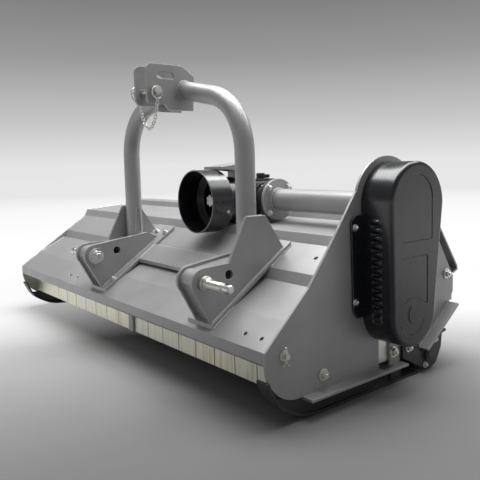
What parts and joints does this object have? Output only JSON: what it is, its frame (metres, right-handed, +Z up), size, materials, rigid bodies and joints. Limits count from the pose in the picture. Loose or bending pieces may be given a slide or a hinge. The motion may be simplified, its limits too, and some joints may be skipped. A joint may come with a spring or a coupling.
{
  "type": "flail mower",
  "caption": "Offset tractor flail mower with A-frame hitch, bevel gearbox, belt side drive, hammer rotor, front flaps, skids and rear roller.",
  "frame": {"origin": "bottom centre of the whole machine's box, on the ground under the skids and the roller", "axes": "+X across the machine towards the belt cover, +Y to the rear away from the tractor, +Z up"},
  "size_m": [1.592, 0.749, 0.812],
  "materials": {
    "paint": "satin",
    "black": "gloss",
    "dark": "satin",
    "zinc": "brushed",
    "flapzinc": "brushed",
    "steel": "brushed",
    "castblack": "matte",
    "belt": "matte"
  },
  "bodies": {
    "frame": {"deck": "paint", "side_plate_left": "paint", "side_plate_right": "paint", "cross_member": "paint", "hitch_bracket_left": "paint", "hitch_bracket_right": "paint", "a_frame_tube_left": "paint", "a_frame_tube_right": "paint", "top_link_plates": "paint", "top_link_pin": "zinc", "linch_pin": "zinc", "pin_chain": "zinc", "lower_link_pins": "zinc", "gearbox_housing": "castblack", "gearbox_cover": "castblack", "oil_plugs": "black", "gearbox_bearings": "steel", "cross_tube": "paint", "pto_guard": "black", "guard_bracket": "paint", "drive_belts": "belt", "belt_cover": "black", "rotor_bearings": "zinc", "hinge_rods": "zinc", "skid_left": "dark", "skid_right": "dark", "roller_arms": "dark", "fasteners": "zinc"},
    "pto": {"input_shaft": "steel", "bevel_gear": "steel"},
    "cross": {"cross_shaft": "steel", "upper_pulley": "castblack"},
    "rotor": {"rotor": "paint", "flail_bolts": "zinc", "lower_pulley": "castblack"},
    "row_1": {"flail_row_1": "steel"},
    "row_2": {"flail_row_2": "steel"},
    "row_3": {"flail_row_3": "steel"},
    "row_4": {"flail_row_4": "steel"},
    "roller": {"roller": "dark"},
    "hood": {"rear_hood": "paint"},
    "bail": {"linch_bail": "zinc"},
    "flap_01": {"front_flap_01": "flapzinc"},
    "flap_02": {"front_flap_02": "flapzinc"},
    "flap_03": {"front_flap_03": "flapzinc"},
    "flap_04": {"front_flap_04": "flapzinc"},
    "flap_05": {"front_flap_05": "flapzinc"},
    "flap_06": {"front_flap_06": "flapzinc"},
    "flap_07": {"front_flap_07": "flapzinc"},
    "flap_08": {"front_flap_08": "flapzinc"},
    "flap_09": {"front_flap_09": "flapzinc"},
    "flap_10": {"front_flap_10": "flapzinc"},
    "flap_11": {"front_flap_11": "flapzinc"},
    "flap_12": {"front_flap_12": "flapzinc"},
    "flap_13": {"front_flap_13": "flapzinc"},
    "flap_14": {"front_flap_14": "flapzinc"},
    "flap_15": {"front_flap_15": "flapzinc"},
    "flap_16": {"front_flap_16": "flapzinc"},
    "flap_17": {"front_flap_17": "flapzinc"},
    "flap_18": {"front_flap_18": "flapzinc"}
  },
  "joints": [
    {"name": "rotor_spin", "type": "hinge", "parent": "frame", "child": "rotor", "pos_m": [-0.03, 0.0405, 0.198], "axis": [1, 0, 0], "continuous": true},
    {"name": "cross_shaft_spin", "type": "hinge", "parent": "frame", "child": "cross", "pos_m": [0.385, 0.0535, 0.442], "axis": [1, 0, 0], "continuous": true},
    {"name": "pto_spin", "type": "hinge", "parent": "frame", "child": "pto", "pos_m": [0.185, -0.0575, 0.442], "axis": [0, 1, 0], "continuous": true},
    {"name": "flail_row_1_swing", "type": "hinge", "parent": "rotor", "child": "row_1", "pos_m": [-0.03, 0.09848, 0.25598], "axis": [1, 0, 0], "range_deg": [-75, 75]},
    {"name": "flail_row_2_swing", "type": "hinge", "parent": "rotor", "child": "row_2", "pos_m": [-0.03, -0.01748, 0.25598], "axis": [1, 0, 0], "range_deg": [-75, 75]},
    {"name": "flail_row_3_swing", "type": "hinge", "parent": "rotor", "child": "row_3", "pos_m": [-0.03, -0.01748, 0.14002], "axis": [1, 0, 0], "range_deg": [-75, 75]},
    {"name": "flail_row_4_swing", "type": "hinge", "parent": "rotor", "child": "row_4", "pos_m": [-0.03, 0.09848, 0.14002], "axis": [1, 0, 0], "range_deg": [-75, 75]},
    {"name": "roller_spin", "type": "hinge", "parent": "frame", "child": "roller", "pos_m": [-0.03, 0.2125, 0.044], "axis": [1, 0, 0], "continuous": true},
    {"name": "rear_hood_hinge", "type": "hinge", "parent": "frame", "child": "hood", "pos_m": [-0.03, 0.1765, 0.394], "axis": [1, 0, 0], "range_deg": [0, 60]},
    {"name": "linch_bail_hinge", "type": "hinge", "parent": "frame", "child": "bail", "pos_m": [0.128, -0.2835, 0.761], "axis": [0, 1, 0], "range_deg": [0, 165]},
    {"name": "front_flap_01_hinge", "type": "hinge", "parent": "frame", "child": "flap_01", "pos_m": [0.662, -0.2875, 0.152], "axis": [1, 0, 0], "range_deg": [-15, 75]},
    {"name": "front_flap_02_hinge", "type": "hinge", "parent": "frame", "child": "flap_02", "pos_m": [0.582, -0.2875, 0.152], "axis": [1, 0, 0], "range_deg": [-15, 75]},
    {"name": "front_flap_03_hinge", "type": "hinge", "parent": "frame", "child": "flap_03", "pos_m": [0.502, -0.2875, 0.152], "axis": [1, 0, 0], "range_deg": [-15, 75]},
    {"name": "front_flap_04_hinge", "type": "hinge", "parent": "frame", "child": "flap_04", "pos_m": [0.422, -0.2875, 0.152], "axis": [1, 0, 0], "range_deg": [-15, 75]},
    {"name": "front_flap_05_hinge", "type": "hinge", "parent": "frame", "child": "flap_05", "pos_m": [0.342, -0.2875, 0.152], "axis": [1, 0, 0], "range_deg": [-15, 75]},
    {"name": "front_flap_06_hinge", "type": "hinge", "parent": "frame", "child": "flap_06", "pos_m": [0.262, -0.2875, 0.152], "axis": [1, 0, 0], "range_deg": [-15, 75]},
    {"name": "front_flap_07_hinge", "type": "hinge", "parent": "frame", "child": "flap_07", "pos_m": [0.182, -0.2875, 0.152], "axis": [1, 0, 0], "range_deg": [-15, 75]},
    {"name": "front_flap_08_hinge", "type": "hinge", "parent": "frame", "child": "flap_08", "pos_m": [0.102, -0.2875, 0.152], "axis": [1, 0, 0], "range_deg": [-15, 75]},
    {"name": "front_flap_09_hinge", "type": "hinge", "parent": "frame", "child": "flap_09", "pos_m": [-0.002, -0.2875, 0.152], "axis": [1, 0, 0], "range_deg": [-15, 75]},
    {"name": "front_flap_10_hinge", "type": "hinge", "parent": "frame", "child": "flap_10", "pos_m": [-0.082, -0.2875, 0.152], "axis": [1, 0, 0], "range_deg": [-15, 75]},
    {"name": "front_flap_11_hinge", "type": "hinge", "parent": "frame", "child": "flap_11", "pos_m": [-0.162, -0.2875, 0.152], "axis": [1, 0, 0], "range_deg": [-15, 75]},
    {"name": "front_flap_12_hinge", "type": "hinge", "parent": "frame", "child": "flap_12", "pos_m": [-0.242, -0.2875, 0.152], "axis": [1, 0, 0], "range_deg": [-15, 75]},
    {"name": "front_flap_13_hinge", "type": "hinge", "parent": "frame", "child": "flap_13", "pos_m": [-0.322, -0.2875, 0.152], "axis": [1, 0, 0], "range_deg": [-15, 75]},
    {"name": "front_flap_14_hinge", "type": "hinge", "parent": "frame", "child": "flap_14", "pos_m": [-0.402, -0.2875, 0.152], "axis": [1, 0, 0], "range_deg": [-15, 75]},
    {"name": "front_flap_15_hinge", "type": "hinge", "parent": "frame", "child": "flap_15", "pos_m": [-0.482, -0.2875, 0.152], "axis": [1, 0, 0], "range_deg": [-15, 75]},
    {"name": "front_flap_16_hinge", "type": "hinge", "parent": "frame", "child": "flap_16", "pos_m": [-0.562, -0.2875, 0.152], "axis": [1, 0, 0], "range_deg": [-15, 75]},
    {"name": "front_flap_17_hinge", "type": "hinge", "parent": "frame", "child": "flap_17", "pos_m": [-0.642, -0.2875, 0.152], "axis": [1, 0, 0], "range_deg": [-15, 75]},
    {"name": "front_flap_18_hinge", "type": "hinge", "parent": "frame", "child": "flap_18", "pos_m": [-0.722, -0.2875, 0.152], "axis": [1, 0, 0], "range_deg": [-15, 75]}
  ],
  "couplings": [
    {"joint": "cross_shaft_spin", "follows": "rotor_spin", "ratio": 0.8},
    {"joint": "pto_spin", "follows": "rotor_spin", "ratio": 0.26667}
  ]
}
